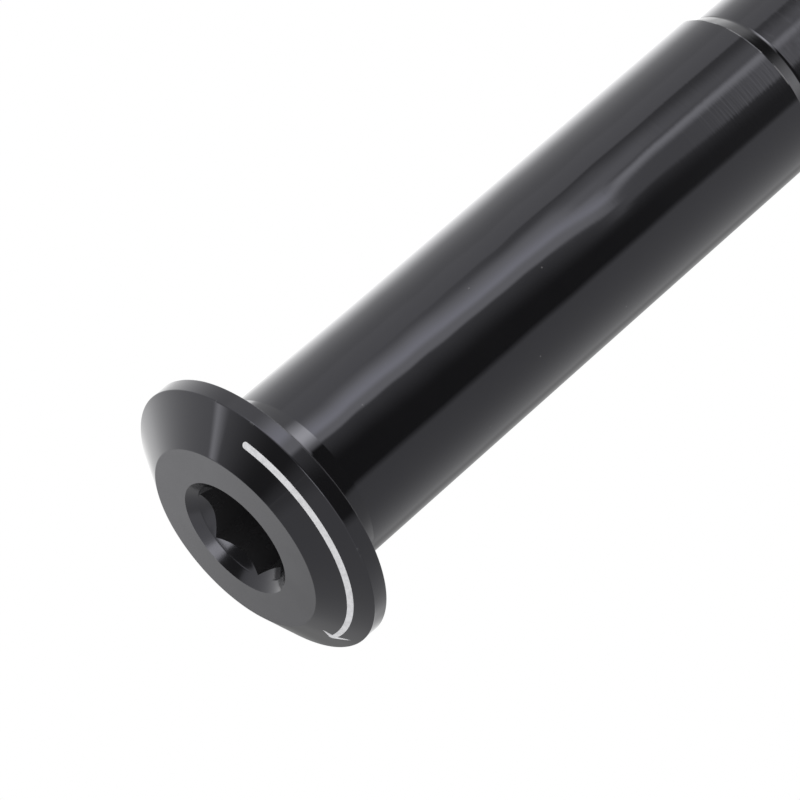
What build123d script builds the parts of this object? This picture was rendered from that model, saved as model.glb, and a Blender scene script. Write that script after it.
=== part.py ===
from build123d import *
import os
from math import radians, tan

# A thru axle turned from one bar. It stands on its threaded end at Z = 0, with the head at the top.
OVERALL_LENGTH = 168.0

# Diameters of the turned outside
HEAD_DIAMETER = 18.9
FACE_DIAMETER = 13.0
SHAFT_DIAMETER = 12.0
RELIEVED_DIAMETER = 11.0
THREAD_DIAMETER = 11.9
RUNOUT_DIAMETER = 10.0

# Head heights, from the flat face down
BEVEL_HEIGHT = 1.82
RIM_HEIGHT = 1.07
UNDERHEAD_TAPER_LENGTH = 2.61
UNDERHEAD_TAPER_ANGLE = 11.0
UNDERHEAD_FILLET = 2.0
EDGE_ROUND = 0.1

# Lengths along the shaft
HEAD_LAND_END = 45.55
STEP_TAPER_LENGTH = 1.1
STEP_ROOT_FILLET = 0.6
TAIL_LAND_LENGTH = 25.5
RUNOUT_LENGTH = 2.5
THREAD_LENGTH = 18.0
TAIL_CHAMFER = 0.9

# Hex socket in the head
HEX_ACROSS_FLATS = 6.0
HEX_DEPTH = 7.0
PILOT_DIAMETER = 5.9
PILOT_DEPTH = 8.0
COUNTERSINK_DIAMETER = 8.1
COUNTERSINK_ANGLE = 90.0

# Blind bore from the threaded end, drilled out for lightness
BORE_DIAMETER = 6.5
BORE_DEPTH = 148.0
BORE_MOUTH_CHAMFER = 0.4
BORE_MOUTH_ANGLE = 90.0
DRILL_POINT_ANGLE = 118.0

# Heights that follow from the sizes above
seat_height = OVERALL_LENGTH - BEVEL_HEIGHT - RIM_HEIGHT
rim_top = OVERALL_LENGTH - BEVEL_HEIGHT
head_land_top = seat_height - UNDERHEAD_TAPER_LENGTH
head_land_bottom = OVERALL_LENGTH - HEAD_LAND_END
relief_top = head_land_bottom - STEP_TAPER_LENGTH
runout_top = THREAD_LENGTH + RUNOUT_LENGTH
tail_land_top = runout_top + TAIL_LAND_LENGTH
relief_bottom = tail_land_top + STEP_TAPER_LENGTH
runout_step = (SHAFT_DIAMETER - RUNOUT_DIAMETER) / 2
thread_step = (THREAD_DIAMETER - RUNOUT_DIAMETER) / 2


def rounded(section, radius, *points):
    """Round the corners of a flat section that lie at the given (radius, height) points."""
    corners = [section.vertices().sort_by_distance(point)[0] for point in points]
    return fillet(corners, radius)


def turned_section():
    """Half section of the axle's outside: radius along X, height along Y, from the threaded end up."""
    shaft = SHAFT_DIAMETER / 2
    relieved = RELIEVED_DIAMETER / 2
    thread = THREAD_DIAMETER / 2
    runout = RUNOUT_DIAMETER / 2
    rim = HEAD_DIAMETER / 2
    taper_root = shaft + UNDERHEAD_TAPER_LENGTH * tan(radians(UNDERHEAD_TAPER_ANGLE))
    outline = Polyline(
        (0, 0),
        (thread - TAIL_CHAMFER, 0),
        (thread, TAIL_CHAMFER),
        (thread, THREAD_LENGTH),
        (runout, THREAD_LENGTH + thread_step),
        (runout, runout_top - runout_step),
        (shaft, runout_top),
        (shaft, tail_land_top),
        (relieved, relief_bottom),
        (relieved, relief_top),
        (shaft, head_land_bottom),
        (shaft, head_land_top),
        (taper_root, seat_height),
        (rim, seat_height),
        (rim, rim_top),
        (FACE_DIAMETER / 2, OVERALL_LENGTH),
        (0, OVERALL_LENGTH),
        close=True,
    )
    section = make_face(outline)
    section = rounded(section, UNDERHEAD_FILLET, (taper_root, seat_height))
    section = rounded(section, EDGE_ROUND, (rim, seat_height), (rim, rim_top))
    return rounded(section, STEP_ROOT_FILLET, (relieved, relief_top), (relieved, relief_bottom))


def drilled_hole(diameter, depth):
    """A drilled hole going down from the origin, with a pointed bottom below its full depth."""
    radius = diameter / 2
    point_height = radius / tan(radians(DRILL_POINT_ANGLE / 2))
    wall = Cylinder(radius, depth, align=(Align.CENTER, Align.CENTER, Align.MAX))
    point = Cone(0, radius, point_height, align=(Align.CENTER, Align.CENTER, Align.MAX))
    return wall + Pos(0, 0, -depth) * point


def countersink(mouth_diameter, bottom_diameter, angle):
    """A conical cut going down from the origin, from its mouth to a smaller bottom."""
    height = (mouth_diameter - bottom_diameter) / 2 / tan(radians(angle / 2))
    return Cone(
        bottom_diameter / 2,
        mouth_diameter / 2,
        height,
        align=(Align.CENTER, Align.CENTER, Align.MAX),
    )


def hex_socket():
    """The key socket: a hexagon pressed over a drilled pilot, countersunk at its mouth, corners on X."""
    hexagon = RegularPolygon(HEX_ACROSS_FLATS / 2, 6, major_radius=False)
    flats = extrude(hexagon, -HEX_DEPTH)
    pilot = drilled_hole(PILOT_DIAMETER, PILOT_DEPTH)
    mouth = countersink(COUNTERSINK_DIAMETER, HEX_ACROSS_FLATS / 2, COUNTERSINK_ANGLE)
    return Pos(0, 0, OVERALL_LENGTH) * (flats + pilot + mouth)


def tail_bore():
    """The blind bore, turned to go up from the threaded end, with its mouth broken."""
    mouth = countersink(BORE_DIAMETER + 2 * BORE_MOUTH_CHAMFER, BORE_DIAMETER / 2, BORE_MOUTH_ANGLE)
    return Rot(180, 0, 0) * (drilled_hole(BORE_DIAMETER, BORE_DEPTH) + mouth)


def thru_axle():
    """The whole axle as one solid."""
    bar = revolve(Plane.XZ * turned_section(), Axis.Z)
    return bar - hex_socket() - tail_bore()


os.makedirs("parts", exist_ok=True)
export_step(thru_axle(), "parts/thru_axle.step")
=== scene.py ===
"""Dress a bicycle thru axle: one turned, black anodised bar with a pale tightening arrow on its head.

The bar stands on its threaded end. Its head has a flat face with a countersunk key socket, a bevel and a
thin rim. Shapes are made in millimetres, and a finished mesh is scaled to metres.
"""

import logging
import math
from collections.abc import Iterable, Sequence
from dataclasses import dataclass, field
from enum import Enum, IntEnum
from itertools import pairwise

import bmesh
import bpy
from bmesh.types import BMEdge, BMesh, BMFace, BMVert
from bpy.types import Material, Node, NodeSocket, NodeTree, Object
from mathutils import Matrix, Vector


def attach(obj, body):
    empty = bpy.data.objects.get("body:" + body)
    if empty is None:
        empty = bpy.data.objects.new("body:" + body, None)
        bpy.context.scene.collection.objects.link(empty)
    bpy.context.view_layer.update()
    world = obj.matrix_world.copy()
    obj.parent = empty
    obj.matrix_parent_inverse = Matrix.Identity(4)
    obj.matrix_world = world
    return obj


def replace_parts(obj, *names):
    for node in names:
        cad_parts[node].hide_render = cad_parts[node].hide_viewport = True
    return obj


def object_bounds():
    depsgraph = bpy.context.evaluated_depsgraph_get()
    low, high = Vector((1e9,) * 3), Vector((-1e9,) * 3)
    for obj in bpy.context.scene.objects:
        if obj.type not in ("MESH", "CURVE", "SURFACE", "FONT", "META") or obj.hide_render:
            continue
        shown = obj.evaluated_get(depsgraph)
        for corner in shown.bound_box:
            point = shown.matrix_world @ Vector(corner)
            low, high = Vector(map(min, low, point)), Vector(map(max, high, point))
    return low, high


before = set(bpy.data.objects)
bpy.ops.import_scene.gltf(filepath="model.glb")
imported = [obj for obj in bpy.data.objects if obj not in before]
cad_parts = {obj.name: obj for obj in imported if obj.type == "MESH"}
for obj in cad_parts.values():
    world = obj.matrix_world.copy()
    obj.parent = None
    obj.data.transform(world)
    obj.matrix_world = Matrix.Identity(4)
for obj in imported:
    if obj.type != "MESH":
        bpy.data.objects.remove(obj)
cad_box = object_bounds()

LOG = logging.getLogger("thru_axle")
CAD_BODY = "root"
CAD_NODE = "thru_axle"

MM = 0.001
PER_MM = 1.0 / MM
ROUND_STEPS = 192
MERGE_DISTANCE = 0.002
SAME_HEIGHT = 0.0005
SEAM = 0.05
SUPPORT_GAP = 0.03
LONG_SIDE = 3.0 * SUPPORT_GAP
ROUND_PROFILE = 0.5
NOISE_MIDDLE = 0.5
SHARP_ANGLE = math.radians(30.0)
OUTLINE_CENTRE = (0.0, 0.0, 0.0)
UP = (0.0, 0.0, 1.0)
ORDER_WAY = Vector((0.3719, 0.6143, 1.0))
BLUISH = (0.98, 0.985, 1.04)
WHITE = (1.0, 1.0, 1.0, 1.0)

Colour = tuple[float, float, float, float]
Source = NodeSocket | float | Sequence[float]


class Surface(IntEnum):
    """Which finish a face of the bar takes, in the order of its material slots."""

    TURNED = 0
    RINGED = 1
    FACED = 2
    THREADED = 3
    BORED = 4


class ThreadHand(IntEnum):
    """Which way a thread climbs, as the sign of its turn about the axis."""

    RIGHT = 1
    LEFT = -1


class SocketKind(Enum):
    """The kinds of socket that a shader group has."""

    VALUE = "NodeSocketFloat"
    VECTOR = "NodeSocketVector"
    COLOUR = "NodeSocketColor"


@dataclass(frozen=True)
class Corner:
    """A corner of a turned outline: how far from the axis, how high and how rounded it is."""

    radius: float
    height: float
    rounding: float = 0.0
    segments: int = 4

    def place(self) -> Vector:
        """Give the corner's place in the plane of the outline."""
        return Vector((self.radius, 0.0, self.height))

    def run_out(self, before: "Corner", after: "Corner") -> float:
        """Work out how far from the corner its rounding begins.

        Args:
            before: The corner before this one.
            after: The corner after this one.

        Returns:
            The length along each side that the rounding takes.
        """
        turn = (self.place() - before.place()).angle(after.place() - self.place())
        return self.rounding * math.tan(turn / 2.0)


def supported(corners: Sequence[Corner]) -> list[Corner]:
    """Add a plain corner close to both ends of each long side, so that the flats between shade flat.

    Args:
        corners: The outline's corners, in order.

    Returns:
        The same outline with the added corners.
    """
    inner = zip(corners, corners[1:], corners[2:])
    runs = [0.0, *(corner.run_out(before, after) for before, corner, after in inner), 0.0]
    full = [corners[0]]
    for (start, end), (start_run, end_run) in zip(pairwise(corners), pairwise(runs)):
        side = end.place() - start.place()
        if side.length - start_run - end_run > LONG_SIDE:
            way = side.normalized()
            near = start.place() + way * (start_run + SUPPORT_GAP)
            far = end.place() - way * (end_run + SUPPORT_GAP)
            full += [Corner(near.x, near.z), Corner(far.x, far.z)]
        full.append(end)
    return full


def all_parts(bm: BMesh) -> list[BMVert | BMEdge | BMFace]:
    """List every vertex, edge and face of a mesh."""
    return bm.verts[:] + bm.edges[:] + bm.faces[:]


def round_corners(bm: BMesh, verts: list[BMVert], run_out: float, segments: int) -> None:
    """Round corners of a wire or of a flat face.

    Args:
        bm: The mesh that holds them.
        verts: The corners.
        run_out: How far from a corner its rounding begins.
        segments: How many sides the rounding has.
    """
    bmesh.ops.bevel(
        bm,
        geom=verts,
        offset=run_out,
        offset_type="OFFSET",
        segments=segments,
        profile=ROUND_PROFILE,
        affect="VERTICES",
        material=-1,
    )


def outline_wire(bm: BMesh, corners: Sequence[Corner]) -> list[BMVert | BMEdge]:
    """Draw an open outline as a wire and round its corners.

    Args:
        bm: The mesh that the wire is drawn in.
        corners: The outline's corners, in order.

    Returns:
        The vertices and edges of the wire.
    """
    verts = [bm.verts.new(corner.place()) for corner in corners]
    for pair in pairwise(verts):
        bm.edges.new(pair)
    for before, corner, after, vert in zip(corners, corners[1:], corners[2:], verts[1:]):
        if corner.rounding:
            round_corners(bm, [vert], corner.run_out(before, after), corner.segments)
    loose_verts = [vert for vert in bm.verts if not vert.link_faces]
    loose_edges = [edge for edge in bm.edges if not edge.link_faces]
    return loose_verts + loose_edges


def turn_outline(bm: BMesh, corners: Sequence[Corner]) -> None:
    """Turn an open outline right round the Z axis.

    Args:
        bm: The mesh that the turned skin is added to.
        corners: The outline's corners, in order.
    """
    bmesh.ops.spin(
        bm,
        geom=outline_wire(bm, supported(corners)),
        cent=OUTLINE_CENTRE,
        axis=UP,
        angle=math.tau,
        steps=ROUND_STEPS,
        use_merge=True,
    )


def open_ring(bm: BMesh, height: float) -> list[BMEdge]:
    """Find the open edges of a skin at one height.

    Args:
        bm: The mesh to search.
        height: The height of the ring.

    Returns:
        The edges there that have a face on one side only.
    """
    return [
        edge
        for edge in bm.edges
        if edge.is_boundary and all(abs(vert.co.z - height) < SAME_HEIGHT for vert in edge.verts)
    ]


def ring_verts(ring: Iterable[BMEdge]) -> list[BMVert]:
    """List the vertices of a ring of edges once each."""
    return list(dict.fromkeys(vert for edge in ring for vert in edge.verts))


def extend_ring(bm: BMesh, ring: list[BMEdge]) -> list[BMEdge]:
    """Extrude a ring of edges into a new ring, which still lies on the old one.

    Args:
        bm: The mesh that holds the ring.
        ring: The edges to extrude.

    Returns:
        The edges of the new ring.
    """
    grown = bmesh.ops.extrude_edge_only(bm, edges=ring)["geom"]
    fresh = {item for item in grown if isinstance(item, BMVert)}
    return [item for item in grown if isinstance(item, BMEdge) and fresh.issuperset(item.verts)]


def set_radius(vert: BMVert, radius: float) -> None:
    """Move a vertex straight in or out to a distance from the axis."""
    now = math.hypot(vert.co.x, vert.co.y)
    vert.co.x *= radius / now
    vert.co.y *= radius / now


def crisp_ring(bm: BMesh, height: float) -> None:
    """Mark the ring of edges at one height as a hard edge, however little it turns."""
    for edge in bm.edges:
        if all(abs(vert.co.z - height) < SAME_HEIGHT for vert in edge.verts):
            edge.smooth = False


def settle_order(bm: BMesh) -> None:
    """Put a mesh's parts in an order that follows from their places, so that every run merges the same ones.

    Args:
        bm: The mesh, in which a cut may have left the parts in any order.
    """
    bm.verts.sort(key=lambda vert: vert.co.dot(ORDER_WAY))
    bm.edges.sort(key=lambda edge: sum(vert.co.dot(ORDER_WAY) for vert in edge.verts))
    bm.faces.sort(key=lambda face: face.calc_center_median().dot(ORDER_WAY))
    for parts in (bm.verts, bm.edges, bm.faces):
        parts.index_update()


def place_mesh(bm: BMesh, name: str, materials: Sequence[Material]) -> Object:
    """Put a mesh in the scene as an object at the origin.

    Args:
        bm: The mesh in metres, which is used up.
        name: The object's name.
        materials: Its materials, in order.

    Returns:
        The new object.
    """
    mesh = bpy.data.meshes.new(name)
    bm.to_mesh(mesh)
    bm.free()
    for material in materials:
        mesh.materials.append(material)
    placed = bpy.data.objects.new(name, mesh)
    bpy.context.scene.collection.objects.link(placed)
    return placed


def finish_mesh(bm: BMesh, name: str, materials: Sequence[Material]) -> Object:
    """Close a mesh, scale it to metres and make it a piece that rides on the axle.

    Args:
        bm: The mesh in millimetres, which is used up.
        name: The piece's name.
        materials: The finishes, in the order of the faces' material numbers.

    Returns:
        The new object.
    """
    settle_order(bm)
    bmesh.ops.remove_doubles(bm, verts=bm.verts, dist=MERGE_DISTANCE)
    bmesh.ops.dissolve_degenerate(bm, edges=bm.edges, dist=MERGE_DISTANCE / 2.0)
    bmesh.ops.recalc_face_normals(bm, faces=bm.faces)
    for edge in bm.edges:
        edge.smooth = edge.smooth and edge.is_manifold and edge.calc_face_angle() < SHARP_ANGLE
    for face in bm.faces:
        face.smooth = True
    bmesh.ops.scale(bm, vec=(MM, MM, MM), verts=bm.verts)
    piece = place_mesh(bm, name, materials)
    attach(piece, CAD_BODY)
    LOG.info("%s: %d faces", name, len(piece.data.polygons))
    return piece


@dataclass
class Wiring:
    """A node tree that is being wired."""

    tree: NodeTree

    def add(self, kind: str, **settings: object) -> Node:
        """Add a node.

        Args:
            kind: The node's type.
            settings: Properties of the node, by name.

        Returns:
            The new node.
        """
        node = self.tree.nodes.new(kind)
        for name, value in settings.items():
            setattr(node, name, value)
        return node

    def feed(self, socket: NodeSocket, source: Source) -> None:
        """Join a source to a socket, or set the socket if the source is plain numbers."""
        if isinstance(source, NodeSocket):
            self.tree.links.new(source, socket)
        else:
            socket.default_value = source

    def feed_all(self, node: Node, sources: Iterable[Source]) -> None:
        """Feed a node's inputs, in order."""
        for socket, source in zip(node.inputs, sources):
            self.feed(socket, source)

    def math(self, operation: str, *values: Source) -> NodeSocket:
        """Add a Math node.

        Args:
            operation: The node's operation.
            values: Its inputs, in order.

        Returns:
            Its result.
        """
        node = self.add("ShaderNodeMath", operation=operation)
        self.feed_all(node, values)
        return node.outputs[0]

    def vector(self, operation: str, *values: Source, output: str = "Vector") -> NodeSocket:
        """Add a Vector Math node.

        Args:
            operation: The node's operation.
            values: Its vector inputs, in order.
            output: The name of the output that is wanted.

        Returns:
            That output.
        """
        node = self.add("ShaderNodeVectorMath", operation=operation)
        self.feed_all(node, values)
        return node.outputs[output]

    def scaled(self, position: Source, factor: Source) -> NodeSocket:
        """Multiply a vector by a number."""
        node = self.add("ShaderNodeVectorMath", operation="SCALE")
        self.feed(node.inputs["Vector"], position)
        self.feed(node.inputs["Scale"], factor)
        return node.outputs["Vector"]

    def joined(self, x: Source, y: Source, z: Source) -> NodeSocket:
        """Put three numbers together as a vector."""
        node = self.add("ShaderNodeCombineXYZ")
        self.feed_all(node, (x, y, z))
        return node.outputs["Vector"]

    def parted(self, position: Source) -> tuple[NodeSocket, NodeSocket, NodeSocket]:
        """Take a vector apart into its three numbers."""
        node = self.add("ShaderNodeSeparateXYZ")
        self.feed(node.inputs["Vector"], position)
        return node.outputs["X"], node.outputs["Y"], node.outputs["Z"]

    def ramp(
        self, value: Source, start: Source, end: Source, low: Source = 0.0, high: Source = 1.0
    ) -> NodeSocket:
        """Ease a value from one level to another.

        Args:
            value: The value that is followed.
            start: Where the change starts.
            end: Where it ends, which may be below the start.
            low: The level before the change.
            high: The level after it.

        Returns:
            The eased level.
        """
        node = self.add("ShaderNodeMapRange", interpolation_type="SMOOTHSTEP")
        self.feed_all(node, (value, start, end, low, high))
        return node.outputs["Result"]

    def noise(self, position: Source, scale: float = 1.0, detail: float = 2.0) -> NodeSocket:
        """Add a noise texture and give its value.

        Args:
            position: Where the noise is read.
            scale: How fine it is.
            detail: How many finer layers it has.

        Returns:
            A value from 0 to 1.
        """
        node = self.add("ShaderNodeTexNoise")
        self.feed(node.inputs["Vector"], position)
        self.feed(node.inputs["Scale"], scale)
        self.feed(node.inputs["Detail"], detail)
        return node.outputs["Fac"]

    def blend_colours(self, factor: Source, under: Source, over: Source) -> NodeSocket:
        """Lay one colour over another.

        Args:
            factor: How much of the upper colour shows.
            under: The lower colour.
            over: The upper colour.

        Returns:
            The blended colour.
        """
        node = self.add("ShaderNodeMix", data_type="RGBA")
        colours = [socket for socket in node.inputs if socket.type == "RGBA"]
        self.feed(node.inputs["Factor"], factor)
        self.feed(colours[0], under)
        self.feed(colours[1], over)
        return next(socket for socket in node.outputs if socket.type == "RGBA")

    def blend_shaders(self, factor: Source, under: NodeSocket, over: NodeSocket) -> NodeSocket:
        """Show one shader in place of another, as far as a factor says."""
        node = self.add("ShaderNodeMixShader")
        self.feed_all(node, (factor, under, over))
        return node.outputs["Shader"]

    def group(self, tree: NodeTree, **values: Source) -> Node:
        """Place a shader group and feed its inputs, which are named with _ for each space."""
        node = self.add("ShaderNodeGroup", node_tree=tree)
        for name, value in values.items():
            self.feed(node.inputs[name.replace("_", " ")], value)
        return node


def value_sockets(*names: str) -> dict[str, SocketKind]:
    """Name sockets that carry one number each."""
    return dict.fromkeys(names, SocketKind.VALUE)


@dataclass
class GroupSheet:
    """A shader group with named inputs and outputs, which is built once."""

    name: str
    inputs: dict[str, SocketKind]
    outputs: dict[str, SocketKind]
    wiring: Wiring = field(init=False)
    entry: Node = field(init=False)
    exit: Node = field(init=False)

    def __post_init__(self) -> None:
        """Make the empty group and its sockets."""
        tree = bpy.data.node_groups.new(self.name, "ShaderNodeTree")
        for in_out, sockets in (("INPUT", self.inputs), ("OUTPUT", self.outputs)):
            for name, kind in sockets.items():
                tree.interface.new_socket(name=name, in_out=in_out, socket_type=kind.value)
        self.wiring = Wiring(tree)
        self.entry = self.wiring.add("NodeGroupInput")
        self.exit = self.wiring.add("NodeGroupOutput")

    def take(self, name: str) -> NodeSocket:
        """Give the socket inside the group that an input comes in by."""
        return self.entry.outputs[name]

    def put(self, name: str, source: Source) -> None:
        """Send a result out of the group."""
        self.wiring.feed(self.exit.inputs[name], source)

    def round_place(self) -> tuple[NodeSocket, NodeSocket, NodeSocket]:
        """Read the Position input as a place on a turned part.

        Returns:
            The way out from the axis as a unit vector, the distance from it and the height, in millimetres.
        """
        x, y, z = self.wiring.parted(self.wiring.scaled(self.take("Position"), PER_MM))
        flat = self.wiring.joined(x, y, 0.0)
        outwards = self.wiring.vector("NORMALIZE", flat)
        distance = self.wiring.vector("LENGTH", flat, output="Value")
        return outwards, distance, z


def turning_marks_group() -> NodeTree:
    """Build the fine rings that a lathe tool leaves, which run round the axis on every turned face.

    Returns:
        A group that gives Groove, the fine rings, which are at their Finest share above Fine Height and
        full below Coarse Height, and Bands, their slow change along the part.
    """
    sheet = GroupSheet(
        "turning_marks",
        {
            "Position": SocketKind.VECTOR,
            **value_sockets("Pitch", "Sway", "Finest", "Fine Height", "Coarse Height"),
        },
        value_sockets("Groove", "Bands"),
    )
    wiring = sheet.wiring
    outwards, distance, height = sheet.round_place()
    along = wiring.math("ADD", height, distance)
    swayed = wiring.scaled(outwards, sheet.take("Sway"))
    fine = wiring.joined(0.0, 0.0, wiring.math("DIVIDE", along, sheet.take("Pitch")))
    rings = wiring.noise(wiring.vector("ADD", swayed, fine))
    share = wiring.ramp(
        height, sheet.take("Fine Height"), sheet.take("Coarse Height"), sheet.take("Finest"), 1.0
    )
    sheet.put("Groove", wiring.math("MULTIPLY", rings, share))
    band_rate = 0.45
    band_detail = 3.0
    slow = wiring.joined(0.0, 0.0, wiring.math("MULTIPLY", along, band_rate))
    sheet.put("Bands", wiring.noise(wiring.vector("ADD", swayed, slow), detail=band_detail))
    return wiring.tree


def edge_wear_and_glint_group() -> NodeTree:
    """Build a pale, broken line along a turned edge: wear where the black has rubbed thin, and on the step
    under the head a painted highlight.

    Returns:
        A group that gives Wear And Glint, which is at its strength where the line at that radius and height
        shows.
    """
    sheet = GroupSheet(
        "edge_wear_and_glint",
        {
            "Position": SocketKind.VECTOR,
            **value_sockets("Edge Radius", "Edge Height", "Width", "Share", "Strength", "Patch Rate"),
        },
        value_sockets("Worn"),
    )
    wiring = sheet.wiring
    outwards, distance, height = sheet.round_place()
    across = wiring.math("SUBTRACT", distance, sheet.take("Edge Radius"))
    along = wiring.math("SUBTRACT", height, sheet.take("Edge Height"))
    gap = wiring.vector("LENGTH", wiring.joined(across, along, 0.0), output="Value")
    near = wiring.ramp(gap, sheet.take("Width"), 0.0)
    own_pattern = wiring.joined(0.0, 0.0, sheet.take("Edge Height"))
    around = wiring.vector("ADD", wiring.scaled(outwards, sheet.take("Patch Rate")), own_pattern)
    patch_detail = 4.0
    patches = wiring.noise(around, detail=patch_detail)
    threshold = wiring.math("SUBTRACT", 1.0, sheet.take("Share"))
    softness = 0.08
    bare_and_glint = wiring.ramp(patches, threshold, wiring.math("ADD", threshold, softness))
    line = wiring.math("MULTIPLY", near, bare_and_glint)
    sheet.put("Worn", wiring.math("MULTIPLY", line, sheet.take("Strength")))
    return wiring.tree


def dust_group() -> NodeTree:
    """Build sparse specks of pale dust.

    Returns:
        A group that gives Speck, which is 1 on a grain of dust.
    """
    sheet = GroupSheet(
        "dust",
        {"Position": SocketKind.VECTOR, **value_sockets("Spacing", "Grain")},
        value_sockets("Speck"),
    )
    wiring = sheet.wiring
    cells = wiring.math("DIVIDE", PER_MM, sheet.take("Spacing"))
    grains = wiring.add("ShaderNodeTexVoronoi")
    wiring.feed(grains.inputs["Vector"], wiring.scaled(sheet.take("Position"), cells))
    wiring.feed(grains.inputs["Scale"], 1.0)
    sheet.put("Speck", wiring.ramp(grains.outputs["Distance"], sheet.take("Grain"), 0.0))
    return wiring.tree


@dataclass(frozen=True)
class SharedEffects:
    """The shader groups that the finishes share."""

    turning_marks: NodeTree = field(default_factory=turning_marks_group)
    edge_wear_and_glint: NodeTree = field(default_factory=edge_wear_and_glint_group)
    dust: NodeTree = field(default_factory=dust_group)


def new_material(name: str) -> tuple[Material, Wiring, Node]:
    """Start a material.

    Args:
        name: The material's name.

    Returns:
        The material, its wiring and its Principled shader.
    """
    made = bpy.data.materials.new(name)
    made.use_nodes = True
    return made, Wiring(made.node_tree), made.node_tree.nodes["Principled BSDF"]


@dataclass(frozen=True)
class EdgeWearAndGlint:
    """An edge of the turned bar with a pale line along it, in millimetres: wear on most edges, a painted
    highlight on the step under the head.
    """

    radius: float
    height: float
    width: float
    share: float
    strength: float
    patch_rate: float = 14.0


@dataclass(frozen=True)
class AnodisedFinish:
    """Black anodised aluminium as a lathe leaves it: a dark, clear oxide skin with fine rings in it."""

    name: str
    deep: Colour = (0.0044, 0.0043, 0.0048, 1.0)
    faded: Colour = (0.0068, 0.0066, 0.0072, 1.0)
    # Colour of the pale edge lines: rubbed metal, and a painted highlight on the step under the head.
    bare_and_glint: Colour = (0.22, 0.22, 0.225, 1.0)
    dusty: Colour = (0.16, 0.155, 0.15, 1.0)
    skin_ior: float = 1.62
    skin_tint: Colour = (0.9, 0.9, 1.0, 1.0)
    smooth_roughness: float = 0.025
    rough_roughness: float = 0.035
    rough_bands: tuple[float, float] = (0.25, 0.75)
    groove_pitch: float = 0.13
    groove_sway: float = 2.5
    groove_depth: float = 0.0000014
    finest_groove: float = 0.04
    fine_height: float = 136.5
    coarse_height: float = 125.0
    dust_spacing: float = 2.2
    dust_grain: float = 0.038
    wear_and_glint_edges: tuple[EdgeWearAndGlint, ...] = ()

    def material(self, effects: SharedEffects) -> Material:
        """Build the finish as a material.

        Args:
            effects: The shared shader groups.

        Returns:
            The new material.
        """
        made, wiring, shader = new_material(self.name)
        position = wiring.add("ShaderNodeTexCoord").outputs["Object"]
        marks = wiring.group(
            effects.turning_marks,
            Position=position,
            Pitch=self.groove_pitch,
            Sway=self.groove_sway,
            Finest=self.finest_groove,
            Fine_Height=self.fine_height,
            Coarse_Height=self.coarse_height,
        )
        colour = wiring.blend_colours(marks.outputs["Bands"], self.deep, self.faded)
        # Pale lines along the listed edges: wear, and a painted highlight on the step under the head.
        for edge in self.wear_and_glint_edges:
            wear_and_glint = wiring.group(
                effects.edge_wear_and_glint,
                Position=position,
                Edge_Radius=edge.radius,
                Edge_Height=edge.height,
                Width=edge.width,
                Share=edge.share,
                Strength=edge.strength,
                Patch_Rate=edge.patch_rate,
            )
            colour = wiring.blend_colours(wear_and_glint.outputs["Worn"], colour, self.bare_and_glint)
        dust = wiring.group(
            effects.dust, Position=position, Spacing=self.dust_spacing, Grain=self.dust_grain
        )
        dusted = wiring.blend_colours(dust.outputs["Speck"], colour, self.dusty)
        wiring.feed(shader.inputs["Base Color"], dusted)
        levels = (self.smooth_roughness, self.rough_roughness)
        rough = wiring.ramp(marks.outputs["Bands"], *self.rough_bands, *levels)
        wiring.feed(shader.inputs["Roughness"], rough)
        bump = wiring.add("ShaderNodeBump")
        wiring.feed(bump.inputs["Distance"], self.groove_depth)
        wiring.feed(bump.inputs["Height"], marks.outputs["Groove"])
        wiring.feed(shader.inputs["Normal"], bump.outputs["Normal"])
        wiring.feed(shader.inputs["IOR"], self.skin_ior)
        wiring.feed(shader.inputs["Specular Tint"], self.skin_tint)
        return made


@dataclass(frozen=True)
class MarkFinish:
    """The pale grey of a mark burnt into the black skin, a little mottled."""

    name: str = "burnt_mark"
    pale: Colour = (0.84, 0.84, 0.86, 1.0)
    dull: Colour = (0.72, 0.72, 0.74, 1.0)
    mottle_scale: float = 2600.0
    mottle_detail: float = 3.0
    pale_spread: tuple[float, float] = (0.3, 0.6)
    rough_spread: tuple[float, float] = (0.3, 0.7)
    fine_roughness: float = 0.45
    coarse_roughness: float = 0.65

    def material(self) -> Material:
        """Build the finish as a material."""
        made, wiring, shader = new_material(self.name)
        position = wiring.add("ShaderNodeTexCoord").outputs["Object"]
        mottle = wiring.noise(position, self.mottle_scale, self.mottle_detail)
        spread = wiring.ramp(mottle, *self.pale_spread)
        wiring.feed(shader.inputs["Base Color"], wiring.blend_colours(spread, self.dull, self.pale))
        rough = wiring.ramp(mottle, *self.rough_spread, self.fine_roughness, self.coarse_roughness)
        wiring.feed(shader.inputs["Roughness"], rough)
        return made


@dataclass(frozen=True)
class Head:
    """The head: a flat face, a bevel out to a thin rim, and a lead-in taper and a fillet under it."""

    top: float = 168.0
    face_radius: float = 6.5
    rim_radius: float = 9.45
    bevel_height: float = 1.82
    rim_height: float = 1.07
    taper_length: float = 2.61
    taper_angle: float = math.radians(11.0)
    fillet: float = 2.0
    fillet_segments: int = 12
    rim_round: float = 0.07
    face_round: float = 0.08

    @property
    def rim_top(self) -> float:
        """Height of the rim's upper edge."""
        return self.top - self.bevel_height

    @property
    def seat(self) -> float:
        """Height of the head's underside."""
        return self.rim_top - self.rim_height

    @property
    def taper_foot(self) -> float:
        """Height at which the taper under the head begins."""
        return self.seat - self.taper_length

    @property
    def bevel_slope(self) -> float:
        """How steeply the bevel falls towards the rim, in radians."""
        return math.atan2(self.bevel_height, self.rim_radius - self.face_radius)

    def corners(self, shaft_radius: float) -> list[Corner]:
        """List the head's outline from the shaft to the edge of the face.

        Args:
            shaft_radius: The radius of the shaft that the head ends.

        Returns:
            The corners, in order.
        """
        taper_root = shaft_radius + self.taper_length * math.tan(self.taper_angle)
        return [
            Corner(shaft_radius, self.taper_foot),
            Corner(taper_root, self.seat, self.fillet, self.fillet_segments),
            Corner(self.rim_radius, self.seat, self.rim_round),
            Corner(self.rim_radius, self.rim_top, self.rim_round),
            Corner(self.face_radius, self.top, self.face_round),
        ]


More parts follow.
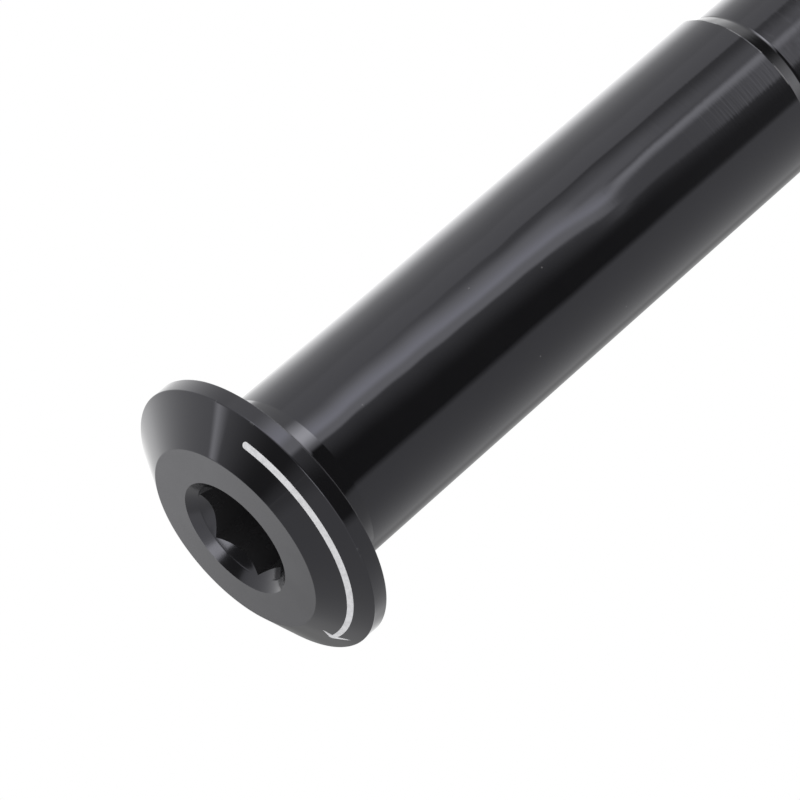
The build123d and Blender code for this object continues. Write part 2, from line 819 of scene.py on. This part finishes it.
@dataclass(frozen=True)
class Shaft:
    """The shaft: two full lands with a relieved stretch between them, and a run-out groove below."""

    radius: float = 6.0
    relieved_radius: float = 5.5
    runout_radius: float = 5.0
    groove_foot: float = 18.95
    runout_top: float = 20.5
    tail_land_top: float = 46.0
    head_land_bottom: float = 122.45
    taper: float = 1.1
    root_fillet: float = 0.6
    runout_fillet: float = 0.2
    edge_round: float = 0.1

    def corners(self) -> list[Corner]:
        """List the shaft's outline from the run-out groove to the land under the head."""
        runout_slope_foot = self.runout_top - (self.radius - self.runout_radius)
        return [
            Corner(self.runout_radius, self.groove_foot + SEAM),
            Corner(self.runout_radius, runout_slope_foot, self.runout_fillet),
            Corner(self.radius, self.runout_top, self.edge_round),
            Corner(self.radius, self.tail_land_top, self.edge_round),
            Corner(self.relieved_radius, self.tail_land_top + self.taper, self.root_fillet),
            Corner(self.relieved_radius, self.head_land_bottom - self.taper, self.root_fillet),
            Corner(self.radius, self.head_land_bottom, self.edge_round),
        ]


@dataclass(frozen=True)
class KeySocket:
    """The socket for a hex key: a countersink, six pressed flats and a drilled pilot below them."""

    across_flats: float = 6.0
    depth: float = 7.0
    pilot_radius: float = 2.95
    pilot_depth: float = 8.0
    mouth_radius: float = 4.05
    outer_slope: float = math.radians(45.0)
    lip_width: float = 0.05
    lip_slope: float = math.radians(57.0)
    inner_slope: float = math.radians(48.0)
    point_angle: float = math.radians(118.0)

    @property
    def corner_radius(self) -> float:
        """Distance from the axis to a corner of the hexagon."""
        return self.across_flats / 2.0 / math.cos(math.pi / 6.0)

    @property
    def lip_radius(self) -> float:
        """Distance from the axis to the lip at the countersink's inner edge."""
        return self.corner_radius + self.lip_width

    @property
    def lip_depth(self) -> float:
        """Depth at which the countersink reaches its lip."""
        return (self.mouth_radius - self.lip_radius) * math.tan(self.outer_slope)

    @property
    def corner_depth(self) -> float:
        """Depth at which the lip meets the corners of the hexagon."""
        return self.lip_depth + self.lip_width * math.tan(self.lip_slope)

    def corners(self, top: float) -> list[Corner]:
        """List the countersink's outline from its mouth inwards.

        Args:
            top: The height of the face that it is cut into.

        Returns:
            The corners, in order.
        """
        return [
            Corner(self.mouth_radius, top),
            Corner(self.lip_radius, top - self.lip_depth),
            Corner(self.corner_radius, top - self.corner_depth),
        ]

    def flat_radius(self, vert: BMVert) -> float:
        """Give the distance from the axis to the hexagon in the direction of a vertex."""
        sector = math.pi / 3.0
        off_middle = math.atan2(vert.co.y, vert.co.x) % sector - sector / 2.0
        return self.across_flats / 2.0 / math.cos(off_middle)

    def press(self, bm: BMesh, top: float) -> None:
        """Sink the flats and the pilot below the countersink.

        Args:
            bm: The mesh, open at the countersink's inner ring.
            top: The height of the face.
        """
        ring = extend_ring(bm, open_ring(bm, top - self.corner_depth))
        for vert in ring_verts(ring):
            radius = self.flat_radius(vert)
            set_radius(vert, radius)
            vert.co.z -= (self.corner_radius - radius) * math.tan(self.inner_slope)
        ring = extend_ring(bm, ring)
        for vert in ring_verts(ring):
            vert.co.z = top - self.depth
        ring = extend_ring(bm, ring)
        for vert in ring_verts(ring):
            set_radius(vert, self.pilot_radius)
        ring = extend_ring(bm, ring)
        for vert in ring_verts(ring):
            vert.co.z = top - self.pilot_depth
        ring = extend_ring(bm, ring)
        point = self.pilot_radius / math.tan(self.point_angle / 2.0)
        bmesh.ops.pointmerge(
            bm, verts=ring_verts(ring), merge_co=(0.0, 0.0, top - self.pilot_depth - point)
        )


@dataclass(frozen=True)
class ThreadedEnd:
    """The threaded end that the axle stands on, drilled out for lightness."""

    crest_radius: float = 5.95
    depth: float = 0.88
    pitch: float = 1.5
    flank_angle: float = math.radians(30.0)
    crest_width: float = 0.1875
    crest_round: float = 0.04
    root_round: float = 0.07
    round_segments: int = 2
    turns_below: float = 1.5
    length: float = 18.0
    chamfer: float = 0.9
    hand: ThreadHand = ThreadHand.RIGHT
    bore_radius: float = 3.25
    bore_depth: float = 148.0
    bore_chamfer: float = 0.4
    point_angle: float = math.radians(118.0)
    trim_steps: int = 6

    @property
    def bore_top(self) -> float:
        """Height of the point that the drill leaves at the end of the bore."""
        return self.bore_depth + self.bore_radius / math.tan(self.point_angle / 2.0)

    @property
    def root_radius(self) -> float:
        """Radius at the bottom of the thread."""
        return self.crest_radius - self.depth

    def section(self, foot: float) -> list[Corner]:
        """List the outline of one turn of the thread, from the middle of a root to the next.

        Args:
            foot: The height of its lower end.

        Returns:
            The corners, in order.
        """
        flank = self.depth * math.tan(self.flank_angle)
        root_half = (self.pitch - self.crest_width - 2.0 * flank) / 2.0
        crest_foot = foot + root_half + flank
        crest_top = crest_foot + self.crest_width
        return [
            Corner(self.root_radius, foot),
            Corner(self.root_radius, foot + root_half, self.root_round, self.round_segments),
            Corner(self.crest_radius, crest_foot, self.crest_round, self.round_segments),
            Corner(self.crest_radius, crest_top, self.crest_round, self.round_segments),
            Corner(self.root_radius, crest_top + flank, self.root_round, self.round_segments),
            Corner(self.root_radius, foot + self.pitch),
        ]

    def trim_heights(self, low: float, high: float) -> list[float]:
        """List the even heights at which the thread is sliced to follow a chamfer."""
        return [low + (high - low) * step / self.trim_steps for step in range(self.trim_steps + 1)]

    def cut(self, bm: BMesh, groove_foot: float) -> None:
        """Cut the thread: wind its section up the end, then trim it to the chamfer and the groove.

        Args:
            bm: The empty mesh that takes it.
            groove_foot: The height at which the run-out groove begins.
        """
        bmesh.ops.spin(
            bm,
            geom=outline_wire(bm, self.section(-self.pitch * self.turns_below)),
            cent=OUTLINE_CENTRE,
            axis=UP,
            dvec=(0.0, 0.0, self.pitch / ROUND_STEPS),
            angle=math.tau * self.hand,
            steps=ROUND_STEPS,
        )
        first_turn = all_parts(bm)
        turns = math.ceil(groove_foot / self.pitch + self.turns_below)
        for turn in range(1, turns):
            copy = bmesh.ops.duplicate(bm, geom=first_turn)["geom"]
            copied = [item for item in copy if isinstance(item, BMVert)]
            bmesh.ops.translate(bm, vec=(0.0, 0.0, self.pitch * turn), verts=copied)
        bmesh.ops.remove_doubles(bm, verts=bm.verts, dist=MERGE_DISTANCE)
        lead_in = self.trim_heights(SEAM, self.chamfer)
        lead_out = self.trim_heights(self.length, groove_foot)
        for height in lead_in + lead_out:
            bmesh.ops.bisect_plane(
                bm,
                geom=all_parts(bm),
                plane_co=(0.0, 0.0, height),
                plane_no=UP,
                clear_inner=height == lead_in[0],
                clear_outer=height == lead_out[-1],
            )
        for vert in bm.verts:
            radius = math.hypot(vert.co.x, vert.co.y)
            lower = self.crest_radius - self.chamfer + vert.co.z
            upper = self.crest_radius - (vert.co.z - self.length)
            set_radius(vert, min(radius, lower, upper))
        settle_order(bm)

    def bore_corners(self) -> list[Corner]:
        """List the outline of the bore and the end ring, from the drill's point to the chamfer."""
        return [
            Corner(0.0, self.bore_top),
            Corner(self.bore_radius, self.bore_depth),
            Corner(self.bore_radius, self.bore_chamfer),
            Corner(self.bore_radius + self.bore_chamfer, 0.0),
            Corner(self.crest_radius - self.chamfer, 0.0),
        ]


@dataclass(frozen=True)
class ThruAxle:
    """The whole bar, as one closed mesh with a finish for each kind of surface."""

    head: Head = Head()
    shaft: Shaft = Shaft()
    socket: KeySocket = KeySocket()
    tail: ThreadedEnd = ThreadedEnd()

    def build(self, effects: SharedEffects) -> Object:
        """Build and dress the bar.

        Args:
            effects: The shared shader groups.

        Returns:
            The finished piece.
        """
        bm = bmesh.new()
        turn_outline(bm, self.tail.bore_corners())
        turn_outline(
            bm,
            self.shaft.corners() + self.head.corners(self.shaft.radius) + self.socket.corners(self.head.top),
        )
        self.socket.press(bm, self.head.top)
        crisp_ring(bm, self.head.taper_foot)
        self.join_thread(bm)
        for face in bm.faces:
            face.material_index = self.surface_at(face)
        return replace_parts(finish_mesh(bm, "axle_body", self.materials(effects)), CAD_NODE)

    def join_thread(self, bm: BMesh) -> None:
        """Cut the thread in a mesh of its own and bridge both its ends to the bar.

        Args:
            bm: The mesh of the bar, open where the thread goes.
        """
        thread = bmesh.new()
        self.tail.cut(thread, self.shaft.groove_foot)
        carrier = bpy.data.meshes.new("thread")
        thread.to_mesh(carrier)
        thread.free()
        bm.from_mesh(carrier)
        bpy.data.meshes.remove(carrier)
        for foot in (0.0, self.shaft.groove_foot):
            bmesh.ops.bridge_loops(bm, edges=open_ring(bm, foot) + open_ring(bm, foot + SEAM))

    def surface_at(self, face: BMFace) -> Surface:
        """Tell which kind of surface a face of the bar belongs to.

        Args:
            face: The face.

        Returns:
            Its kind.
        """
        middle = face.calc_center_median()
        radius = math.hypot(middle.x, middle.y)
        wall_top = self.head.top - self.socket.mouth_radius + self.socket.across_flats / 2.0
        reach = self.socket.corner_radius if middle.z > self.tail.bore_top else self.tail.bore_radius
        if radius < reach and middle.z < wall_top:
            return Surface.BORED
        if radius < self.head.face_radius and middle.z > self.head.seat:
            return Surface.FACED
        if middle.z < self.shaft.groove_foot:
            return Surface.THREADED
        if self.shaft.tail_land_top < middle.z < self.shaft.head_land_bottom:
            return Surface.RINGED
        return Surface.TURNED

    def materials(self, effects: SharedEffects) -> list[Material]:
        """Build the bar's finishes, in the order of Surface.

        Args:
            effects: The shared shader groups.

        Returns:
            One material for each kind of surface.
        """
        head, shaft, tail = self.head, self.shaft, self.tail
        wear_and_glint_edges = (
            EdgeWearAndGlint(head.rim_radius, head.rim_top, width=0.12, share=0.37, strength=0.32),
            EdgeWearAndGlint(head.rim_radius, head.seat, width=0.1, share=0.7, strength=0.16),
            # The step's pale line, at full strength in long runs, is a painted highlight, not wear.
            EdgeWearAndGlint(
                shaft.radius, shaft.head_land_bottom, width=0.08, share=0.53, strength=1.0, patch_rate=4.0
            ),
            EdgeWearAndGlint(shaft.radius, shaft.tail_land_top, width=0.09, share=0.4, strength=0.3),
            EdgeWearAndGlint(shaft.radius, shaft.runout_top, width=0.09, share=0.45, strength=0.4),
        )
        end_radius = tail.crest_radius - tail.chamfer
        end_edge = (EdgeWearAndGlint(end_radius, 0.0, width=0.1, share=0.6, strength=0.4),)
        finishes = {
            Surface.TURNED: AnodisedFinish("turned_black", wear_and_glint_edges=wear_and_glint_edges),
            Surface.RINGED: AnodisedFinish(
                "ringed_black",
                smooth_roughness=0.06,
                rough_roughness=0.1,
                groove_pitch=0.15,
                groove_depth=0.0000036,
                wear_and_glint_edges=wear_and_glint_edges,
            ),
            Surface.FACED: AnodisedFinish("faced_black", smooth_roughness=0.14, rough_roughness=0.2),
            Surface.THREADED: AnodisedFinish("threaded_black", rough_roughness=0.26, wear_and_glint_edges=end_edge),
            # Lighter black inside the socket and the bore: painted light from bounces in the hollow.
            Surface.BORED: AnodisedFinish(
                "bored_black_painted_bounce",
                deep=(0.022, 0.0215, 0.023, 1.0),
                faded=(0.032, 0.0315, 0.033, 1.0),
                smooth_roughness=0.2,
                rough_roughness=0.32,
            ),
        }
        return [finishes[surface].material(effects) for surface in Surface]


@dataclass(frozen=True)
class TighteningArrow:
    """A thin open arrow on the bevel that runs clockwise, the way the axle is turned to tighten."""

    head: Head
    radius: float = 8.23
    start_bearing: float = math.radians(-79.3)
    sweep: float = math.radians(126.8)
    tail_stroke: float = 0.45
    tail_roundness: float = 0.49
    tip_stroke: float = 0.36
    blunt_tip: float = 0.2
    barb_back: float = 0.85
    barb_across: float = 0.9
    barb_root: float = 0.55
    sunk: float = 0.004
    thickness: float = 0.012
    slices: int = 96
    end_segments: int = 6

    @property
    def length(self) -> float:
        """Length of the arrow before it is bent round the bevel."""
        return self.radius * self.sweep

    def outline(self) -> list[tuple[float, float]]:
        """List the flat outline of the arrow, pointing along X, anticlockwise from its tip.

        Returns:
            The corners as (along, across), with the tail's two in the middle.
        """
        upper = [
            (self.length, self.blunt_tip / 2.0),
            (self.length - self.barb_back, self.barb_across),
            (self.length - self.barb_root, self.tip_stroke / 2.0),
            (0.0, self.tail_stroke / 2.0),
        ]
        lower = [(along, -across) for along, across in reversed(upper)]
        return upper + lower

    def wrap(self, vert: BMVert) -> None:
        """Bend a point of the flat arrow on to the bevel."""
        slope = self.head.bevel_slope
        along, across, raised = vert.co
        out = self.radius + across * math.cos(slope) + raised * math.sin(slope)
        fall = (self.radius - self.head.face_radius) * math.tan(slope)
        bearing = self.start_bearing - along / self.radius
        vert.co = (
            out * math.cos(bearing),
            out * math.sin(bearing),
            self.head.top - fall - across * math.sin(slope) + raised * math.cos(slope),
        )

    def build(self) -> Object:
        """Build and dress the arrow.

        Returns:
            The finished piece.
        """
        bm = bmesh.new()
        verts = [bm.verts.new((along, across, -self.sunk)) for along, across in self.outline()]
        bm.faces.new(verts)
        tail = [vert for vert in verts if vert.co.x == 0.0]
        round_corners(bm, tail, self.tail_stroke * self.tail_roundness, self.end_segments)
        for step in range(1, self.slices):
            bmesh.ops.bisect_plane(
                bm,
                geom=all_parts(bm),
                plane_co=(self.length * step / self.slices, 0.0, 0.0),
                plane_no=(1.0, 0.0, 0.0),
            )
        bmesh.ops.solidify(bm, geom=bm.faces[:], thickness=-self.thickness)
        for vert in bm.verts:
            self.wrap(vert)
        return finish_mesh(bm, "tightening_arrow", [MarkFinish().material()])


@dataclass(frozen=True)
class Edge:
    """An edge of a studio panel in degrees: where it is, half the width of its fade, and its lean."""

    at: float
    softness: float = 3.0
    lean: float = 0.0


NO_BOTTOM = Edge(-120.0)
NO_TOP = Edge(120.0)
NO_LEFT = Edge(-220.0)
NO_RIGHT = Edge(220.0)
SHAFT_TOP = Edge(-15.0, 5.0)
SHAFT_BOTTOM = Edge(-34.0, 1.0)


@dataclass(frozen=True)
class StudioPanel:
    """A patch of light or shade round the axle. Its sides are bearings from the camera's own."""

    name: str
    level: float
    left: Edge
    right: Edge
    bottom: Edge = NO_BOTTOM
    top: Edge = NO_TOP
    tint: tuple[float, float, float] = (1.0, 1.0, 1.0)

    def colour(self) -> Colour:
        """Give the panel's colour at its level."""
        red, green, blue = self.tint
        return (red * self.level, green * self.level, blue * self.level, 1.0)

    def edge_inputs(self) -> dict[str, float]:
        """List what the panel's shader group needs to know about its edges."""
        edges = {"Left": self.left, "Right": self.right, "Bottom": self.bottom, "Top": self.top}
        values: dict[str, float] = {}
        for side, edge in edges.items():
            values |= {side: edge.at, f"{side}_Softness": edge.softness, f"{side}_Lean": edge.lean}
        return values


def studio_panel_group() -> NodeTree:
    """Build the patch that one studio panel lays over what is already there.

    Returns:
        A group that gives Colour.
    """
    inputs = {"Under": SocketKind.COLOUR, "Panel": SocketKind.COLOUR}
    inputs |= value_sockets("Bearing", "Elevation")
    sides = {"Left": "Bearing", "Right": "Bearing", "Bottom": "Elevation", "Top": "Elevation"}
    for side in sides:
        inputs |= value_sockets(side, f"{side} Softness", f"{side} Lean")
    sheet = GroupSheet("studio_panel", inputs, {"Colour": SocketKind.COLOUR})
    wiring = sheet.wiring
    lean_pivot = -28.0
    rise = wiring.math("SUBTRACT", sheet.take("Elevation"), lean_pivot)
    mask: Source = 1.0
    for side, measure in sides.items():
        leaned = wiring.math("MULTIPLY_ADD", rise, sheet.take(f"{side} Lean"), sheet.take(side))
        before = wiring.math("SUBTRACT", leaned, sheet.take(f"{side} Softness"))
        after = wiring.math("ADD", leaned, sheet.take(f"{side} Softness"))
        inwards = (before, after) if side in ("Left", "Bottom") else (after, before)
        mask = wiring.math("MULTIPLY", mask, wiring.ramp(sheet.take(measure), *inwards))
    sheet.put("Colour", wiring.blend_colours(mask, sheet.take("Under"), sheet.take("Panel")))
    return wiring.tree


@dataclass(frozen=True)
class Bend:
    """A stretch where the panels' upright edges bend sideways. Each fade is where it starts and is full."""

    shift: float = 6.4
    upper_fade: tuple[float, float] = (-28.8, -29.3)
    lower_fade: tuple[float, float] = (-29.74, -29.64)
    left_fade: tuple[float, float] = (-52.0, -38.0)
    right_fade: tuple[float, float] = (25.0, 10.0)

    def apply(self, wiring: Wiring, bearing: NodeSocket, elevation: NodeSocket) -> NodeSocket:
        """Bend a bearing.

        Args:
            wiring: The node tree that takes the bend.
            bearing: The bearing to bend, in degrees.
            elevation: The elevation that goes with it.

        Returns:
            The bearing at which the panels are read.
        """
        share: Source = -self.shift
        for measure, fade in (
            (elevation, self.upper_fade),
            (elevation, self.lower_fade),
            (bearing, self.left_fade),
            (bearing, self.right_fade),
        ):
            share = wiring.math("MULTIPLY", share, wiring.ramp(measure, *fade))
        return wiring.math("ADD", bearing, share)


@dataclass(frozen=True)
class PhotoCamera:
    """The camera, placed so that the head's face falls where the picture has it."""

    head: Head
    azimuth: float = math.radians(-16.74)
    elevation: float = math.radians(26.31)
    roll: float = math.radians(-131.16)
    face_distance: float = 296.12
    focal_pixels: float = 5055.98
    image_pixels: float = 800.0
    face_pixel: tuple[float, float] = (234.81, 538.50)
    sensor: float = 36.0
    nearest: float = 0.01
    farthest: float = 20.0

    def axes(self) -> Matrix:
        """Give the camera's right, up and back directions as the columns of a matrix."""
        turned = Matrix.Rotation(self.azimuth, 3, "Z")
        tilted = turned @ Matrix.Rotation(math.pi / 2.0 - self.elevation, 3, "X")
        return tilted @ Matrix.Rotation(self.roll, 3, "Z")

    def build(self) -> None:
        """Build the camera and make it the scene's own."""
        half = self.image_pixels / 2.0
        scale = self.face_distance / self.focal_pixels
        column, row = self.face_pixel
        face_seen = Vector(((column - half) * scale, (half - row) * scale, -self.face_distance))
        turn = self.axes()
        place = Vector((0.0, 0.0, self.head.top)) - turn @ face_seen
        lens = bpy.data.cameras.new("photo_camera")
        lens.sensor_width = self.sensor
        lens.lens = self.focal_pixels / self.image_pixels * self.sensor
        lens.clip_start = self.nearest
        lens.clip_end = self.farthest
        camera = bpy.data.objects.new("photo_camera", lens)
        camera.matrix_world = Matrix.LocRotScale(place * MM, turn, None)
        bpy.context.scene.collection.objects.link(camera)
        bpy.context.scene.camera = camera
        LOG.info("photo_camera: lens %.1f mm", lens.lens)


@dataclass(frozen=True)
class Studio:
    """A white studio: a pale round floor, soft panels all round and one soft lamp."""

    camera_azimuth: float
    floor_radius: float = 0.24
    floor_drop: float = 0.00002
    floor_colour: Colour = (0.8, 0.8, 0.8, 1.0)
    floor_roughness: float = 0.9
    fade_start: float = 0.06
    fade_end: float = 0.17
    ambient: float = 0.92
    ripple: float = 9.0
    right_ripple: float = 3.0
    ripple_rate: float = 2.0
    ripple_start: float = 30.0
    ripple_full: float = 5.0
    ripple_top: float = -8.0
    ripple_foot: float = -18.0
    bend: Bend = Bend()
    lamp_power: float = 0.45
    lamp_size: float = 0.24
    lamp_distance: float = 0.8
    lamp_bearing: float = math.radians(8.0)
    lamp_elevation: float = math.radians(66.5)
    panels: tuple[StudioPanel, ...] = (
        StudioPanel("right_wall", 0.6, Edge(43.0), NO_RIGHT),
        StudioPanel("right_low", 0.7, Edge(43.0), Edge(140.0, 20.0), Edge(-37.0), Edge(-30.0)),
        StudioPanel(
            "right_high", 0.95, Edge(50.0, 20.0), Edge(104.0, 5.0), Edge(36.0, 6.0), Edge(62.0, 8.0)
        ),
        StudioPanel("right_far", 0.76, Edge(100.0, 24.0), NO_RIGHT, top=Edge(0.0, 10.0)),
        StudioPanel("right_back", 0.48, Edge(140.0, 6.0), NO_RIGHT, top=Edge(10.0, 6.0)),
        StudioPanel("right_rim", 1.6, Edge(126.0, 12.0), NO_RIGHT, Edge(-24.4, 0.5), Edge(-17.0)),
        StudioPanel(
            "right_under", 0.5, Edge(43.0, 6.0), Edge(150.0, 12.0), Edge(-60.0, 8.0), Edge(-38.5, 2.5)
        ),
        StudioPanel("left_wall", 1.45, NO_LEFT, Edge(-112.0, 26.0), top=Edge(20.0, 26.0)),
        StudioPanel("left_back", 2.4, NO_LEFT, Edge(-128.0, 14.0), Edge(-33.2, 0.7), Edge(-25.6, 1.2)),
        StudioPanel("low_side", 0.9, Edge(-150.0, 8.0), Edge(-80.0, 8.0), Edge(-47.0), Edge(-34.5, 1.5)),
        StudioPanel("low_left", 0.75, Edge(-170.0, 8.0), Edge(-80.0, 8.0), Edge(-90.0), Edge(-54.0, 6.0)),
        StudioPanel("floor_glow", 1.3, Edge(45.0, 30.0), Edge(110.0, 20.0), top=Edge(-70.0, 4.0)),
        StudioPanel(
            "dark_gap", 0.07, Edge(-18.0), Edge(46.0, 5.0, -0.4), Edge(-68.0, 4.0), Edge(10.0, 6.0)
        ),
        StudioPanel("dim_gap", 0.2, Edge(-18.0), Edge(46.0, 5.0, -0.4), Edge(-34.0), Edge(-31.0, 2.5)),
        StudioPanel("left_sheet", 1.03, Edge(-80.0), Edge(-28.0), Edge(-34.0, 2.0), Edge(10.0, 6.0)),
        StudioPanel("dip", 0.46, Edge(-55.5, 1.5), Edge(-20.0), Edge(-35.0), Edge(-27.9, 2.4)),
        StudioPanel("tail", 0.6, Edge(-30.0), Edge(2.5, 19.0, -3.4), SHAFT_BOTTOM, SHAFT_TOP),
        StudioPanel("end_sheet", 1.06, Edge(-42.0, 10.0), Edge(-20.0), SHAFT_BOTTOM, Edge(-30.4, 0.5)),
        StudioPanel("far_sheet", 1.3, Edge(-45.0, 11.0), Edge(-20.0), Edge(-30.6, 0.5), Edge(-28.8, 0.2)),
        StudioPanel(
            "far_shoulder", 0.82, Edge(-28.0), Edge(2.0, 3.0, -2.8), SHAFT_BOTTOM, Edge(-29.5, 0.15)
        ),
        StudioPanel(
            "end_shoulder", 1.75, Edge(-28.0), Edge(2.0, 3.0, -2.8), SHAFT_BOTTOM, Edge(-31.9, 1.3)
        ),
        StudioPanel("far_line", 2.45, Edge(-24.6, 3.2), Edge(-16.0, 5.0), SHAFT_BOTTOM, Edge(-29.0, 0.2)),
        StudioPanel(
            "shelf", 1.85, Edge(-44.0, 8.0, -1.8), Edge(-10.4, 2.2, -2.9), Edge(-29.6, 0.05), SHAFT_TOP
        ),
        StudioPanel(
            "streak",
            2.75,
            Edge(-32.0, 8.0, -3.3),
            Edge(-22.0, 4.0, -2.7),
            Edge(-29.6, 0.05),
            SHAFT_TOP,
            BLUISH,
        ),
        StudioPanel(
            "far_gap", 1.35, Edge(-45.0, 8.0), Edge(-33.5, 3.0), Edge(-29.7, 0.05), Edge(-29.2, 0.1)
        ),
        StudioPanel(
            "low_lamp", 4.8, Edge(-56.0, 14.0), Edge(-29.0, 12.0), Edge(-54.0, 9.0), Edge(-35.0, 1.5)
        ),
        StudioPanel("overhead_gap", 0.1, Edge(-31.6, 2.5, -1.1), Edge(-8.0), Edge(60.0, 18.0)),
        StudioPanel("zenith", 0.37, NO_LEFT, NO_RIGHT, Edge(85.5, 4.0)),
        StudioPanel(
            "front_gap", 0.08, Edge(-120.7, 1.5, 0.53), Edge(-8.0), Edge(40.0, 2.0), Edge(74.0, 8.0)
        ),
        StudioPanel(
            "overhead_streak", 2.3, Edge(-126.5, 1.3), Edge(-124.2, 2.2), Edge(45.0), Edge(57.0, 2.0)
        ),
        StudioPanel("lamp_glow", 1.7, Edge(-8.0), Edge(50.0, 40.0), Edge(52.0, 5.0), Edge(76.0, 5.0)),
        StudioPanel("lower_gap", 0.05, Edge(-102.0, 18.0), Edge(-6.0, 56.0), Edge(-84.0), Edge(-65.0, 4.0)),
        StudioPanel("back_left", 1.2, NO_LEFT, Edge(-164.0, 6.0), Edge(-26.0, 6.0), Edge(44.0, 6.0)),
        StudioPanel("back_right", 0.74, Edge(166.0, 6.0), NO_RIGHT, Edge(8.0, 6.0), Edge(44.0, 6.0)),
        StudioPanel("back_low", 0.28, Edge(166.0, 6.0), NO_RIGHT, Edge(-23.4, 0.8), Edge(4.0, 8.0)),
    )

    def build(self) -> None:
        """Build the floor, the world and the lamp."""
        scene = bpy.context.scene
        scene.view_settings.view_transform = "Standard"
        self.build_floor()
        self.build_world()
        self.build_lamp()

    def build_floor(self) -> None:
        """Build the floor, which keeps the shadow and fades to white for the camera."""
        bm = bmesh.new()
        bmesh.ops.create_circle(bm, cap_ends=True, segments=ROUND_STEPS, radius=self.floor_radius)
        bmesh.ops.translate(bm, vec=(0.0, 0.0, -self.floor_drop), verts=bm.verts)
        floor = place_mesh(bm, "floor", [self.floor_material()])
        floor.visible_glossy = False

    def floor_material(self) -> Material:
        """Build the floor's matt white, which gives way to plain white away from the axle."""
        made, wiring, shader = new_material("pale_floor")
        wiring.feed(shader.inputs["Base Color"], self.floor_colour)
        wiring.feed(shader.inputs["Roughness"], self.floor_roughness)
        position = wiring.add("ShaderNodeTexCoord").outputs["Object"]
        distance = wiring.vector("LENGTH", position, output="Value")
        fade = wiring.ramp(distance, self.fade_start, self.fade_end)
        seen = wiring.add("ShaderNodeLightPath").outputs["Is Camera Ray"]
        white = wiring.add("ShaderNodeEmission")
        faded = wiring.math("MULTIPLY", fade, seen)
        mixed = wiring.blend_shaders(faded, shader.outputs["BSDF"], white.outputs["Emission"])
        wiring.feed(made.node_tree.nodes["Material Output"].inputs["Surface"], mixed)
        return made

    def direction(self, bearing: float) -> Vector:
        """Give the level direction at a bearing from the camera, which grows clockwise seen from above."""
        angle = self.camera_azimuth - math.pi / 2.0 - bearing
        return Vector((math.cos(angle), math.sin(angle), 0.0))

    def build_world(self) -> None:
        """Build the surroundings: panels of light and shade, and plain white for the camera."""
        world = bpy.data.worlds.new("studio")
        bpy.context.scene.world = world
        world.use_nodes = True
        wiring = Wiring(world.node_tree)
        wiring.tree.nodes.clear()
        towards = wiring.vector("NORMALIZE", wiring.add("ShaderNodeTexCoord").outputs["Generated"])
        ahead = wiring.vector("DOT_PRODUCT", towards, self.direction(0.0), output="Value")
        aside = wiring.vector("DOT_PRODUCT", towards, self.direction(math.pi / 2.0), output="Value")
        even = wiring.math("DEGREES", wiring.math("ARCTAN2", aside, ahead))
        height = wiring.parted(towards)[2]
        elevation = wiring.math("DEGREES", wiring.math("ARCSINE", height))
        ripple_place = wiring.joined(ahead, aside, wiring.math("MULTIPLY", elevation, self.ripple_rate))
        ripple = wiring.math("SUBTRACT", wiring.noise(ripple_place), NOISE_MIDDLE)
        swing = wiring.ramp(even, self.ripple_start, self.ripple_full, self.right_ripple, self.ripple)
        lowered = wiring.math("MULTIPLY", swing, wiring.ramp(elevation, self.ripple_top, self.ripple_foot))
        bent = self.bend.apply(wiring, even, elevation)
        bearing = wiring.math("MULTIPLY_ADD", ripple, lowered, bent)
        patch = studio_panel_group()
        colour: Source = (self.ambient, self.ambient, self.ambient, 1.0)
        for panel in self.panels:
            node = wiring.group(
                patch,
                Under=colour,
                Panel=panel.colour(),
                Bearing=bearing,
                Elevation=elevation,
                **panel.edge_inputs(),
            )
            node.label = panel.name
            colour = node.outputs["Colour"]
        lit = wiring.add("ShaderNodeBackground")
        wiring.feed(lit.inputs["Color"], colour)
        white = wiring.add("ShaderNodeBackground")
        wiring.feed(white.inputs["Color"], WHITE)
        seen = wiring.add("ShaderNodeLightPath").outputs["Is Camera Ray"]
        mixed = wiring.blend_shaders(seen, lit.outputs["Background"], white.outputs["Background"])
        output = wiring.add("ShaderNodeOutputWorld")
        wiring.feed(output.inputs["Surface"], mixed)

    def build_lamp(self) -> None:
        """Build the soft lamp, which aims at the middle of the axle."""
        light = bpy.data.lights.new("soft_lamp", "AREA")
        light.energy = self.lamp_power
        light.size = self.lamp_size
        lamp = bpy.data.objects.new("soft_lamp", light)
        bpy.context.scene.collection.objects.link(lamp)
        level = self.direction(self.lamp_bearing) * math.cos(self.lamp_elevation)
        towards = level + Vector((0.0, 0.0, math.sin(self.lamp_elevation)))
        aim = (cad_box[0] + cad_box[1]) / 2.0
        lamp.location = aim + towards * self.lamp_distance
        lamp.rotation_euler = towards.to_track_quat("Z", "Y").to_euler()


def main() -> None:
    """Build the axle, its arrow, the studio and the camera."""
    logging.basicConfig(level=logging.INFO, format="%(name)s: %(message)s")
    effects = SharedEffects()
    axle = ThruAxle()
    axle.build(effects)
    TighteningArrow(axle.head).build()
    camera = PhotoCamera(axle.head)
    camera.build()
    Studio(camera.azimuth).build()


if __name__ == "__main__":
    main()
